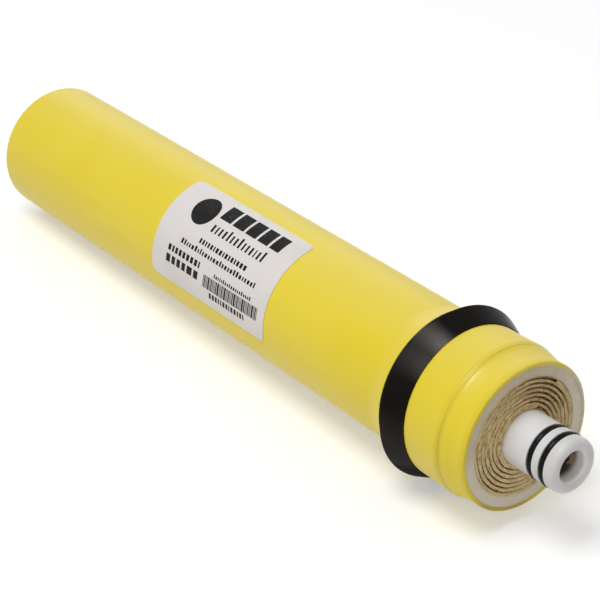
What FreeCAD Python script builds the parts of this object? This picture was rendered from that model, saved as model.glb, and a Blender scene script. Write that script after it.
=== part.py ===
import FreeCAD, Part
import Sketcher
import math
import os

# Reverse osmosis membrane element, spiral wound, household size.
# The roll's axis lies along X and the product spigot, with its two O-rings, points to +X.
# The origin is on the axis, in the plane of the shell's end face that the spigot leaves.
# Z is up: the element lies on its side, on the lip of the brine seal and on its plain end.
# The label faces -Y and up. All sizes are in millimetres.

doc = FreeCAD.newDocument("ro_membrane_element")
sheet = doc.addObject("Spreadsheet::Sheet", "sizes")

# Driving dimensions, each one free to be set by itself.
DRIVING = [
    ("shell_length", 254.0),
    ("shell_outer_r", 22.6),
    ("shell_wall", 3.6),
    ("wrap_wall", 0.35),
    ("wrap_rim_wall", 1.1),
    ("wrap_proud", 0.3),
    ("wrap_rim_turn", 5.0),
    ("wrap_rim_break", 0.5),
    ("wrap_far_break", 0.15),
    ("collar_height", 1.8),
    ("collar_front", 10.4),
    ("collar_rear", 36.0),
    ("collar_front_slope", 1.4),
    ("collar_rear_slope", 5.5),
    ("ridge_height", 0.3),
    ("ridge_back", 11.2),
    ("ridge_crease", 10.3),
    ("crease_depth", 0.35),
    ("crease_front", 9.6),
    ("seat_front", 20.5),
    ("wrap_blend_r", 12.0),
    ("shoulder_blend_r", 5.0),
    ("seal_front", 24.2),
    ("seal_edge", 0.3),
    ("seal_lip_back", 31.3),
    ("seal_flare", 3.25),
    ("seal_lip_tip", 0.45),
    ("seal_lip_wall", 0.68),
    ("seal_root_back", 28.2),
    ("seal_base_back", 34.6),
    ("seal_base_wall", 0.85),
    ("tube_outer_r", 8.63),
    ("tube_bore_r", 4.9),
    ("spigot_length", 20.6),
    ("spigot_tip_round", 2.0),
    ("spigot_lead_round", 1.7),
    ("stub_length", 16.0),
    ("stub_edge_break", 1.0),
    ("tube_end_wall", 4.0),
    ("ring_section", 2.1),
    ("ring_proud", 0.22),
    ("ring_clearance", 0.03),
    ("groove_width", 2.25),
    ("first_groove", 9.65),
    ("groove_pitch", 4.8),
    ("product_hole_r", 1.3),
    ("product_hole_pitch", 108.0),
    ("product_hole_start", 46.0),
    ("product_hole_count", 2),
    ("turn_pitch", 1.46),
    ("roll_clearance", 0.085),
    ("roll_start_deg", 60.0),
    ("membrane_wall", 0.17),
    ("carrier_wall", 0.34),
    ("layer_gap", 0.03),
    ("fold_lead_deg", 14.0),
    ("spacer_recess", 1.2),
    ("label_left", 157.3),
    ("label_width", 62.2),
    ("label_top_deg", 95.5),
    ("label_height", 38.0),
    ("label_corner_r", 2.3),
    ("label_wall", 0.12),
    ("label_gap", 0.05),
]

# Sizes that follow from the driving ones, stations along X first and then radii.
DERIVED = [
    ("axis_r", "=0"),
    ("end_x", "=0"),
    ("far_x", "=-shell_length"),
    ("rim_x", "=wrap_proud"),
    ("rim_back_x", "=-wrap_rim_turn"),
    ("collar_front_x", "=-collar_front"),
    ("collar_front_foot_x", "=-collar_front + collar_front_slope"),
    ("collar_rear_x", "=-collar_rear"),
    ("collar_rear_foot_x", "=-collar_rear - collar_rear_slope"),
    ("ridge_x", "=-ridge_back"),
    ("crease_x", "=-ridge_crease"),
    ("crease_front_x", "=-crease_front"),
    ("seat_front_x", "=-seat_front"),
    ("collar_r", "=shell_outer_r + collar_height"),
    ("shell_bore_r", "=shell_outer_r - shell_wall"),
    ("body_r", "=shell_outer_r + wrap_wall"),
    ("rim_r", "=shell_outer_r + wrap_rim_wall"),
    ("seat_r", "=collar_r + wrap_wall"),
    ("ridge_r", "=seat_r + ridge_height"),
    ("crease_r", "=ridge_r - crease_depth"),
    ("seal_front_x", "=-seal_front"),
    ("seal_lip_x", "=-seal_lip_back"),
    ("seal_lip_under_x", "=-seal_lip_back - 0.5 * seal_lip_tip"),
    ("seal_root_x", "=-seal_root_back"),
    ("seal_base_x", "=-seal_base_back"),
    ("seal_front_r", "=seat_r + seal_edge"),
    ("seal_lip_r", "=seat_r + seal_flare"),
    ("seal_slope", "=(seal_lip_r - seal_front_r) / (seal_lip_back - seal_front)"),
    ("seal_lip_under_r", "=seal_lip_r - seal_lip_tip"),
    ("seal_base_r", "=seat_r + seal_base_wall"),
    ("seal_lip_inner_r", "=seal_front_r + seal_slope * (-seal_root_x - seal_front) - seal_lip_wall"),
    ("tip_x", "=spigot_length"),
    ("stub_x", "=-shell_length - stub_length"),
    ("bore_end_x", "=stub_x + tube_end_wall"),
    ("groove_floor_r", "=tube_outer_r + ring_proud - ring_section - ring_clearance"),
    ("ring_mean_r", "=tube_outer_r + ring_proud - 0.5 * ring_section"),
    ("groove1_back_x", "=first_groove"),
    ("groove1_front_x", "=first_groove + groove_width"),
    ("groove2_back_x", "=first_groove + groove_pitch"),
    ("groove2_front_x", "=first_groove + groove_pitch + groove_width"),
    ("ring1_x", "=first_groove + 0.5 * groove_width"),
    ("ring2_x", "=first_groove + groove_pitch + 0.5 * groove_width"),
    ("roll_inner_r", "=tube_outer_r + layer_gap"),
    ("roll_room", "=shell_bore_r - roll_clearance - roll_inner_r"),
    ("roll_turns", "=roll_room / turn_pitch - 1"),
]

ROLL_AXIS = FreeCAD.Vector(1, 0, 0)
CENTRE = FreeCAD.Vector(0, 0, 0)
HALF_TURN = 0.5
FULL_TURN_DEG = 360.0
RING_SIDE_COUNT = 12
CORNER_CHORD_COUNT = 4
SAME_PLACE = 0.001
SAME_TURN = 1e-9


def fill_sheet():
    """Write the driving sizes as plain numbers and the derived ones as formulas."""
    row = 1
    for alias, value in DRIVING + DERIVED:
        sheet.set("A%d" % row, alias)
        sheet.set("B%d" % row, str(value))
        sheet.setAlias("B%d" % row, alias)
        row += 1
    doc.recompute()


def size(alias):
    """Return one value of the sheet as a plain number."""
    return float(sheet.get(alias))


def origin_plane(body, role):
    """Return the body's own origin plane with the given role."""
    for feature in body.Origin.OriginFeatures:
        if feature.Role == role:
            return feature
    raise ValueError("no plane " + role)


def new_body(name):
    """Add an empty body whose label is the name of its node."""
    body = doc.addObject("PartDesign::Body", name)
    body.Label = name
    return body


def new_sketch(body, name, role):
    """Add a sketch on one of the body's origin planes."""
    sketch = body.newObject("Sketcher::SketchObject", name)
    sketch.AttachmentSupport = [(origin_plane(body, role), "")]
    sketch.MapMode = "FlatFace"
    return sketch


def profile_sketch(body, name, corners):
    """Draw a closed outline in the XZ plane, every corner bound to a station and a radius."""
    sketch = new_sketch(body, name, "XZ_Plane")
    spots = [FreeCAD.Vector(size(station), size(radius), 0) for station, radius in corners]
    count = len(spots)
    for i in range(count):
        sketch.addGeometry(Part.LineSegment(spots[i], spots[(i + 1) % count]), False)
    for i in range(count):
        sketch.addConstraint(Sketcher.Constraint("Coincident", i, 2, (i + 1) % count, 1))
    for i, (station, radius) in enumerate(corners):
        for kind, alias, value in (("DistanceX", station, spots[i].x), ("DistanceY", radius, spots[i].y)):
            number = sketch.addConstraint(Sketcher.Constraint(kind, -1, 1, i, 1, value))
            sketch.setExpression("Constraints[%d]" % number, "sizes." + alias)
    doc.recompute()
    return sketch


def revolve(body, name, sketch):
    """Turn a profile once round the roll's axis."""
    feature = body.newObject("PartDesign::Revolution", name)
    feature.Profile = sketch
    feature.ReferenceAxis = (sketch, ["H_Axis"])
    feature.Angle = FULL_TURN_DEG
    doc.recompute()
    return feature


def rings_at(shape, corners):
    """Name the circular edges of a turned shape that lie on the given profile corners."""
    wanted = [(size(station), size(radius)) for station, radius in corners]
    names = []
    for number, edge in enumerate(shape.Edges, 1):
        if not isinstance(edge.Curve, Part.Circle):
            continue
        found = (edge.Curve.Center.x, edge.Curve.Radius)
        for station, radius in wanted:
            if abs(found[0] - station) < SAME_PLACE and abs(found[1] - radius) < SAME_PLACE:
                names.append("Edge%d" % number)
    return names


def round_rings(body, name, base, corners, radius_alias):
    """Fillet the ring edges at the given profile corners."""
    feature = body.newObject("PartDesign::Fillet", name)
    feature.Base = (base, rings_at(base.Shape, corners))
    feature.setExpression("Radius", "sizes." + radius_alias)
    doc.recompute()
    return feature


def break_rings(body, name, base, corners, width_alias):
    """Chamfer the ring edges at the given profile corners."""
    feature = body.newObject("PartDesign::Chamfer", name)
    feature.Base = (base, rings_at(base.Shape, corners))
    feature.setExpression("Size", "sizes." + width_alias)
    doc.recompute()
    return feature


def build_shell():
    """White tube that holds the roll, with the raised collar that carries the seal."""
    body = new_body("outer_shell")
    sketch = profile_sketch(body, "shell_profile", [
        ("end_x", "shell_bore_r"),
        ("end_x", "shell_outer_r"),
        ("collar_front_foot_x", "shell_outer_r"),
        ("collar_front_x", "collar_r"),
        ("collar_rear_x", "collar_r"),
        ("collar_rear_foot_x", "shell_outer_r"),
        ("far_x", "shell_outer_r"),
        ("far_x", "shell_bore_r"),
    ])
    revolve(body, "shell_turned", sketch)
    return body


def build_wrap():
    """Yellow wrap shrunk over shell and collar, thick at the rim and creased over the collar."""
    body = new_body("yellow_wrap")
    sketch = profile_sketch(body, "wrap_profile", [
        ("rim_x", "shell_outer_r"),
        ("rim_x", "rim_r"),
        ("rim_back_x", "rim_r"),
        ("crease_front_x", "crease_r"),
        ("crease_x", "crease_r"),
        ("ridge_x", "ridge_r"),
        ("seat_front_x", "seat_r"),
        ("collar_rear_x", "seat_r"),
        ("collar_rear_foot_x", "body_r"),
        ("far_x", "body_r"),
        ("far_x", "shell_outer_r"),
        ("collar_rear_foot_x", "shell_outer_r"),
        ("collar_rear_x", "collar_r"),
        ("collar_front_x", "collar_r"),
        ("collar_front_foot_x", "shell_outer_r"),
    ])
    turned = revolve(body, "wrap_turned", sketch)
    foot = round_rings(body, "wrap_foot_blend", turned, [("collar_rear_foot_x", "body_r")], "wrap_blend_r")
    neck = round_rings(body, "wrap_neck_blend", foot, [("rim_back_x", "rim_r")], "shoulder_blend_r")
    rim = break_rings(body, "wrap_rim_edge", neck, [("rim_x", "rim_r")], "wrap_rim_break")
    break_rings(body, "wrap_far_edge", rim, [("far_x", "body_r")], "wrap_far_break")
    return body


def build_seal():
    """Black brine seal: a base ring on the wrap and a flared lip that opens to the far end."""
    body = new_body("brine_seal")
    sketch = profile_sketch(body, "seal_profile", [
        ("seal_front_x", "seat_r"),
        ("seal_front_x", "seal_front_r"),
        ("seal_lip_x", "seal_lip_r"),
        ("seal_lip_under_x", "seal_lip_under_r"),
        ("seal_root_x", "seal_lip_inner_r"),
        ("seal_root_x", "seal_base_r"),
        ("seal_base_x", "seal_base_r"),
        ("seal_base_x", "seat_r"),
    ])
    revolve(body, "seal_turned", sketch)
    return body


def build_tube():
    """Product water tube: perforated inside the roll, grooved spigot at +X, closed stub at -X."""
    body = new_body("permeate_tube")
    sketch = profile_sketch(body, "tube_profile", [
        ("tip_x", "tube_bore_r"),
        ("tip_x", "tube_outer_r"),
        ("stub_x", "tube_outer_r"),
        ("stub_x", "axis_r"),
        ("bore_end_x", "axis_r"),
        ("bore_end_x", "tube_bore_r"),
    ])
    turned = revolve(body, "tube_turned", sketch)
    tip = round_rings(body, "tip_outer_round", turned, [("tip_x", "tube_outer_r")], "spigot_tip_round")
    lead = round_rings(body, "tip_lead", tip, [("tip_x", "tube_bore_r")], "spigot_lead_round")
    break_rings(body, "stub_edge", lead, [("stub_x", "tube_outer_r")], "stub_edge_break")
    for number in (1, 2):
        back = "groove%d_back_x" % number
        front = "groove%d_front_x" % number
        outline = profile_sketch(body, "groove_profile_%d" % number, [
            (back, "groove_floor_r"),
            (front, "groove_floor_r"),
            (front, "body_r"),
            (back, "body_r"),
        ])
        groove = body.newObject("PartDesign::Groove", "ring_groove_%d" % number)
        groove.Profile = outline
        groove.ReferenceAxis = (outline, ["H_Axis"])
        groove.Angle = FULL_TURN_DEG
        doc.recompute()
    drill_product_holes(body, "XY_Plane", 0.0)
    drill_product_holes(body, "XZ_Plane", 0.5)
    return body


def drill_product_holes(body, role, shift):
    """Drill one row of holes straight through the tube, every second row half a pitch on."""
    before = body.Shape.Volume
    sketch = new_sketch(body, "hole_" + role, role)
    start = -(size("product_hole_start") + shift * size("product_hole_pitch"))
    sketch.addGeometry(Part.Circle(FreeCAD.Vector(start, 0, 0), FreeCAD.Vector(0, 0, 1),
                                   size("product_hole_r")), False)
    radius = sketch.addConstraint(Sketcher.Constraint("Radius", 0, size("product_hole_r")))
    sketch.setExpression("Constraints[%d]" % radius, "sizes.product_hole_r")
    along = sketch.addConstraint(Sketcher.Constraint("DistanceX", -1, 1, 0, 3, start))
    sketch.setExpression("Constraints[%d]" % along,
                         "-(sizes.product_hole_start + %g * sizes.product_hole_pitch)" % shift)
    sketch.addConstraint(Sketcher.Constraint("PointOnObject", 0, 3, -1))
    doc.recompute()
    pocket = body.newObject("PartDesign::Pocket", "drill_" + role)
    pocket.Profile = sketch
    pocket.Type = 1
    pocket.Midplane = True
    doc.recompute()
    pattern = body.newObject("PartDesign::LinearPattern", "row_" + role)
    pattern.Originals = [pocket]
    pattern.Direction = (sketch, ["H_Axis"])
    pattern.Reversed = True
    pattern.setExpression("Length", "sizes.product_hole_pitch * (sizes.product_hole_count - 1)")
    pattern.setExpression("Occurrences", "sizes.product_hole_count")
    body.Tip = pattern
    doc.recompute()
    if body.Shape.Volume >= before:
        raise ValueError("the product holes removed nothing")


def build_ring(name, station_alias):
    """O-ring seated in its groove, its round section drawn with a few flats."""
    section = doc.addObject("Part::RegularPolygon", name + "_section")
    section.Polygon = RING_SIDE_COUNT
    section.setExpression("Circumradius", "0.5 * sizes.ring_section")
    section.setExpression("Placement.Base.x", "sizes." + station_alias)
    section.setExpression("Placement.Base.y", "sizes.ring_mean_r")
    ring = doc.addObject("Part::Revolution", name)
    ring.Label = name
    ring.Source = section
    ring.Axis = ROLL_AXIS
    ring.Base = CENTRE
    ring.Angle = FULL_TURN_DEG
    ring.Solid = True
    doc.recompute()
    return ring


def roll_point(half, turn, offset, station):
    """Point of the roll after a number of turns, a given offset out from the inmost surface.

    Every half turn is an arc. The arcs' centres lie a quarter of the pitch to either side of the
    axis in turn, so each arc runs smoothly into the next and every layer keeps its distance to
    the others. The roll winds clockwise as seen from +X.
    """
    growth = size("turn_pitch") * HALF_TURN
    start = math.radians(size("roll_start_deg"))
    aside = 0.5 * growth * (1 if half % 2 else -1)
    angle = start - 2 * math.pi * turn
    radius = size("roll_inner_r") + growth * (half + 0.5) + offset
    return FreeCAD.Vector(station,
                          aside * math.cos(start) + radius * math.cos(angle),
                          aside * math.sin(start) + radius * math.sin(angle))


def half_of(turn):
    """Number of the half turn that a turn count lies in."""
    return int(math.floor(turn / HALF_TURN + SAME_TURN))


def roll_arcs(first_turn, last_turn, offset, station):
    """Arcs that follow the roll at one offset, one for each half turn or part of it."""
    between = range(half_of(first_turn) + 1, half_of(last_turn - SAME_TURN) + 1)
    stops = [first_turn] + [half * HALF_TURN for half in between] + [last_turn]
    arcs = []
    for start, end in zip(stops, stops[1:]):
        half = half_of(start)
        spots = [roll_point(half, turn, offset, station) for turn in (start, 0.5 * (start + end), end)]
        arcs.append(Part.Arc(*spots).toShape())
    return arcs


def end_line(turn, inner, outer, station):
    """Straight cut across a layer at its first or last turn."""
    half = half_of(turn)
    return Part.makeLine(roll_point(half, turn, inner, station), roll_point(half, turn, outer, station))


def carried_along(edges, length):
    """Solid swept along X by the outline that the edges close."""
    outline = Part.Wire(Part.sortEdges(edges)[0])
    return Part.Face(outline).extrude(ROLL_AXIS * length)


def wound_strip(first_turn, last_turn, inner, outer, back_x, front_x):
    """One sheet of the roll as a solid: two spirals joined at both ends, carried along X."""
    edges = roll_arcs(first_turn, last_turn, inner, back_x)
    edges += roll_arcs(first_turn, last_turn, outer, back_x)
    edges.append(end_line(first_turn, inner, outer, back_x))
    edges.append(end_line(last_turn, inner, outer, back_x))
    return carried_along(edges, front_x - back_x)


def fold_arc(turn, inner, outer, station):
    """Half-round fold that joins two offsets and bulges back along the roll."""
    start = roll_point(half_of(turn), turn, inner, station)
    end = roll_point(half_of(turn), turn, outer, station)
    middle = (start + end) * 0.5
    outward = FreeCAD.Vector(0, middle.y, middle.z)
    back = ROLL_AXIS.cross(outward).normalize()
    return Part.Arc(start, middle + back * (0.5 * (outer - inner)), end).toShape()


def layer_offsets():
    """Offsets of the layers in one turn, from the inmost surface outwards."""
    gap = size("layer_gap")
    carrier = (0.0, size("carrier_wall"))
    inner_ply = (carrier[1] + gap, carrier[1] + gap + size("membrane_wall"))
    outer_ply = (size("turn_pitch") - gap - size("membrane_wall"), size("turn_pitch") - gap)
    spacer = (inner_ply[1] + gap, outer_ply[0] - gap)
    return {"carrier": carrier, "inner": inner_ply, "outer": outer_ply, "spacer": spacer}


def add_feature(name, shape):
    """Add a finished shape as a node of its own."""
    feature = doc.addObject("Part::Feature", name)
    feature.Label = name
    feature.Shape = shape
    return feature


def build_membrane():
    """Membrane sheet: one sheet folded over the feed spacer at the tube and wound up."""
    layers = layer_offsets()
    first = size("fold_lead_deg") / FULL_TURN_DEG
    last = size("roll_turns")
    far = size("far_x")
    low, low_in = layers["inner"]
    high_in, high = layers["outer"]
    edges = []
    for offset in (low, low_in, high_in, high):
        edges += roll_arcs(first, last, offset, far)
    edges.append(fold_arc(first, low, high, far))
    edges.append(fold_arc(first, low_in, high_in, far))
    edges.append(end_line(last, low, low_in, far))
    edges.append(end_line(last, high_in, high, far))
    return add_feature("membrane_sheet", carried_along(edges, -far))


def build_spacer():
    """Feed spacer inside the folded membrane, set back a little from both end faces."""
    inner, outer = layer_offsets()["spacer"]
    recess = size("spacer_recess")
    first = size("fold_lead_deg") / FULL_TURN_DEG
    shape = wound_strip(first, size("roll_turns"), inner, outer,
                        size("far_x") + recess, size("end_x") - recess)
    return add_feature("feed_spacer", shape)


def build_carrier():
    """Permeate carrier between the membrane's backs, its three outer edges soaked in the glue line."""
    inner, outer = layer_offsets()["carrier"]
    shape = wound_strip(0.0, size("roll_turns"), inner, outer, size("far_x"), size("end_x"))
    return add_feature("permeate_carrier", shape)


def label_edge(surface, start, end):
    """Straight edge on the label's cylinder between two (angle, station) points."""
    return Part.Geom2d.Line2dSegment(start, end).toShape(surface)


def label_face(radius):
    """Rounded rectangle laid on a cylinder of the given radius, corners cut as short chords."""
    cylinder = Part.Cylinder()
    cylinder.Radius = radius
    cylinder.Axis = ROLL_AXIS
    cylinder.Center = CENTRE
    vector = FreeCAD.Base.Vector2d
    probe = cylinder.value(0, 0)
    zero = math.atan2(probe.z, probe.y)
    turn = 1 if cylinder.value(0.1, 0).cross(probe).x < 0 else -1
    left = -size("label_left")
    right = left + size("label_width")
    top = math.radians(size("label_top_deg"))
    bottom = top + size("label_height") / size("body_r")
    corner = size("label_corner_r")
    corner_angle = corner / size("body_r")
    spots = []
    quarters = [
        (left + corner, top + corner_angle, math.pi),
        (right - corner, top + corner_angle, 1.5 * math.pi),
        (right - corner, bottom - corner_angle, 0.0),
        (left + corner, bottom - corner_angle, 0.5 * math.pi),
    ]
    for mid_x, mid_angle, first in quarters:
        for step in range(CORNER_CHORD_COUNT + 1):
            bearing = first + 0.5 * math.pi * step / CORNER_CHORD_COUNT
            station = mid_x + corner * math.cos(bearing)
            angle = mid_angle + corner_angle * math.sin(bearing)
            spots.append(vector((turn * (angle - zero)) % (2 * math.pi), station))
    edges = [label_edge(cylinder, spots[i], spots[(i + 1) % len(spots)]) for i in range(len(spots))]
    wire = Part.Wire(edges)
    face = Part.Face(cylinder, wire)
    face.validate()
    return face


def build_label():
    """Paper label stuck round the upper front of the wrap."""
    face = label_face(size("body_r") + size("label_gap"))
    shape = face.makeOffsetShape(size("label_wall"), 0.0001, fill=True)
    return add_feature("label", shape)


def check_and_write(nodes):
    """Stop on any fault in the document, then write one STEP file per node."""
    doc.recompute()
    for thing in doc.Objects:
        if "Invalid" in thing.State or "Error" in thing.State:
            raise ValueError("%s is %s" % (thing.Name, thing.State))
    for node in nodes:
        if node.Shape.isNull() or not node.Shape.isValid():
            raise ValueError("%s has a bad shape" % node.Label)
    os.makedirs("parts", exist_ok=True)
    for node in nodes:
        node.Shape.exportStep("parts/%s.step" % node.Label)


def main():
    """Build every node of the element and write it."""
    fill_sheet()
    nodes = [
        build_shell(),
        build_wrap(),
        build_seal(),
        build_tube(),
        build_ring("inner_o_ring", "ring1_x"),
        build_ring("outer_o_ring", "ring2_x"),
        build_membrane(),
        build_spacer(),
        build_carrier(),
        build_label(),
    ]
    check_and_write(nodes)
    for node in nodes:
        shape = node.Shape
        box = shape.BoundBox
        print("%-18s %-9s solids %d volume %.1f box x %.2f..%.2f r %.2f" % (
            node.Label, shape.ShapeType, len(shape.Solids), shape.Volume, box.XMin, box.XMax, box.ZMax))


main()
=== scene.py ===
"""Dressing of a spiral-wound reverse osmosis membrane element.

The solid parts come in as a fixed frame, in metres. The roll's axis lies along X, the product
spigot points to +X, Z is up, and the origin is on the axis, in the plane of the shell's end face.
This script gives every solid its finish and adds what is too fine for the solids: the frayed cut
edges of the wound leaf, the cut strands of the spacer net, the turned rim of the wrap and the
print on the label. A floor, lamps and a camera complete the picture.
"""

import logging
import math
from dataclasses import astuple, dataclass, field
from enum import Enum
from functools import cached_property

import bmesh
import bpy
import numpy as np
from mathutils import Matrix, Vector

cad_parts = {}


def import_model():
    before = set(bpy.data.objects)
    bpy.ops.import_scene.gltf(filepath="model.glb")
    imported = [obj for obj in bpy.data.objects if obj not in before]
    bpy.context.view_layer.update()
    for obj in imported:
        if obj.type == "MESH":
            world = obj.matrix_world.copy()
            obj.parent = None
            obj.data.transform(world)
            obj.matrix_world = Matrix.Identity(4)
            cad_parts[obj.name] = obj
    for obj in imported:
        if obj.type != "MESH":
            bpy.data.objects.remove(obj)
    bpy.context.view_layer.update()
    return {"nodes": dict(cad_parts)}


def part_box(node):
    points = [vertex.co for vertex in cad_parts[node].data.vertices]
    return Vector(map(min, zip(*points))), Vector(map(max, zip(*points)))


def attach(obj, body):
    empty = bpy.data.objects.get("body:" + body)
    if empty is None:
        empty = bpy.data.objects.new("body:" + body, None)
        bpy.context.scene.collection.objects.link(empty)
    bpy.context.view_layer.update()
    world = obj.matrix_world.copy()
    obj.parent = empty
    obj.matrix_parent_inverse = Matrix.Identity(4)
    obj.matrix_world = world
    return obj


LOG = logging.getLogger("membrane_element")
MM = 0.001
BODY = "root"

# Sizes that several pieces share.
BORE_RADIUS = 19.0 * MM
BODY_RADIUS = 22.95 * MM
FAR_END_X = -254.0 * MM
LIP_X = -31.3 * MM
LIP_RADIUS = 28.0 * MM
SEAL_FRONT_X = -24.2 * MM

UPWARD_DEG = 90.0
SHARP_EDGE = math.radians(50.0)
NOISE_ROUGHNESS = 0.55
NOISE_MIDDLE = 0.5

Colour = tuple[float, float, float, float]
Span = tuple[float, float]
WHITE: Colour = (1.0, 1.0, 1.0, 1.0)


def srgb(red: float, green: float, blue: float) -> Colour:
    """Turn a screen colour into the linear colour that a shader takes.

    Each channel c from 0 to 1 becomes c / 12.92 where it is very dark, and otherwise
    ((c + 0.055) / 1.055) to the power 2.4.

    Args:
        red: Red, 0 to 255.
        green: Green, 0 to 255.
        blue: Blue, 0 to 255.

    Returns:
        The linear colour with an alpha of 1.
    """
    channels = np.array([red, green, blue]) / 255.0
    bright = ((channels + 0.055) / 1.055) ** 2.4
    values = np.where(channels <= 0.04045, channels / 12.92, bright)
    return (float(values[0]), float(values[1]), float(values[2]), 1.0)


class RollEnd(Enum):
    """The two cut ends of the roll, each with the side that it faces along X."""

    SPIGOT = 1.0
    PLAIN = -1.0


class Signal:
    """A number carried by a shader socket, on which Python's operators add Math nodes."""

    def __init__(self, bench: "Bench", socket: bpy.types.NodeSocket) -> None:
        """Keep the socket and the bench that its nodes go on."""
        self.bench = bench
        self.socket = socket

    def __add__(self, other: "Signal | float") -> "Signal":
        """Sum of the two."""
        return self.bench.math("ADD", self, other)

    def __radd__(self, other: float) -> "Signal":
        """Sum of the two."""
        return self.bench.math("ADD", other, self)

    def __sub__(self, other: "Signal | float") -> "Signal":
        """Difference of the two."""
        return self.bench.math("SUBTRACT", self, other)

    def __rsub__(self, other: float) -> "Signal":
        """Difference, with the number first."""
        return self.bench.math("SUBTRACT", other, self)

    def __mul__(self, other: "Signal | float") -> "Signal":
        """Product of the two."""
        return self.bench.math("MULTIPLY", self, other)

    def __rmul__(self, other: float) -> "Signal":
        """Product of the two."""
        return self.bench.math("MULTIPLY", other, self)

    def __truediv__(self, other: "Signal | float") -> "Signal":
        """Quotient of the two."""
        return self.bench.math("DIVIDE", self, other)

    def __abs__(self) -> "Signal":
        """The number without its sign."""
        return self.bench.math("ABSOLUTE", self)

    def capped(self) -> "Signal":
        """The number, held at 1 where it is more."""
        return self.bench.math("MINIMUM", self, 1.0)

    def swing(self, width: float, middle: float = NOISE_MIDDLE) -> "Signal":
        """How far the number is from a middle, times a width."""
        return (self - middle) * width

    def mixed(self, other: "Signal", share: float) -> "Signal":
        """The number and another one added, the other with this share and this one the rest."""
        return self * (1.0 - share) + other * share

    def eased(self, fall: float) -> "Signal":
        """Factor that is 1 where the number is 1, and lower by this fall where it is 0."""
        return (1.0 - fall) + fall * self

    def ramp(self, low: float, high: float) -> "Signal":
        """Smooth step from 0 at one value to 1 at another.

        With r the share of the way between the two, the result is r squared times (3 - 2 r).

        Args:
            low: Value at which the result is 0.
            high: Value at which the result is 1; it may be the smaller of the two.

        Returns:
            The eased result, held between 0 and 1.
        """
        rise = self.bench.math("MAXIMUM", (self - low) / (high - low), 0.0).capped()
        return rise * rise * (3.0 - 2.0 * rise)

    def band(self, centre: float, half_width: float) -> "Signal":
        """Soft stripe that is 1 where the number is at the centre and 0 half a width away."""
        return abs(self - centre).ramp(half_width, 0.0)


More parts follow.
